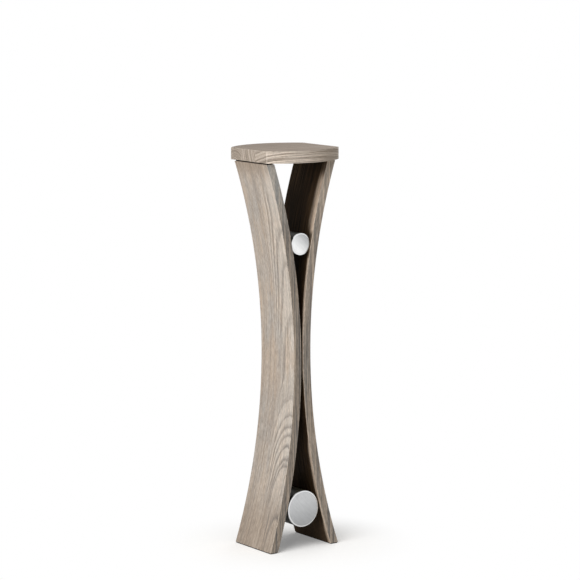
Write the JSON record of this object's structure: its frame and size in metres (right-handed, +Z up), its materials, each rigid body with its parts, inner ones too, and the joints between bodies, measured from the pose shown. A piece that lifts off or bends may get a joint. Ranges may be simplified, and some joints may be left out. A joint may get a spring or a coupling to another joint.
{
  "type": "decorative pillar",
  "caption": "Tall waisted plant pillar: bent weathered-wood side panels under a bowed top plate, held apart by dark round spacers with light metal caps.",
  "frame": {"origin": "on the floor, midway between the feet and midway front to back", "axes": "+Z up, +X from the left panel to the right panel, +Y from the front cap faces to the back"},
  "size_m": [0.218, 0.2434, 1],
  "materials": {
    "weathered_wood": "weathered grey-brown stain, matt, dark on the inner faces",
    "dowel_wood": "plain beech",
    "black_strip": "matt black",
    "black_felt": "pressed felt",
    "black_tube": "satin black paint",
    "black_rubber": "moulded, matt",
    "cap_metal": "satin brushed with a bright bevel",
    "zinc_steel": "zinc plated"
  },
  "bodies": {
    "root": {"top_plate": "weathered_wood", "left_panel": "weathered_wood", "right_panel": "weathered_wood", "left_plate_dowels": "dowel_wood", "right_plate_dowels": "dowel_wood", "left_shadow_strip": "black_strip", "right_shadow_strip": "black_strip", "left_foot_pad": "black_felt", "right_foot_pad": "black_felt", "upper_spacer_tube": "black_tube", "upper_packings": "black_rubber", "upper_front_cap": "cap_metal", "upper_rear_cap": "cap_metal", "upper_hanger_bolts": "zinc_steel", "upper_washers": "zinc_steel", "upper_nuts": "zinc_steel", "lower_spacer_tube": "black_tube", "lower_packings": "black_rubber", "lower_front_cap": "cap_metal", "lower_rear_cap": "cap_metal", "lower_hanger_bolts": "zinc_steel", "lower_washers": "zinc_steel", "lower_nuts": "zinc_steel"}
  },
  "joints": []
}
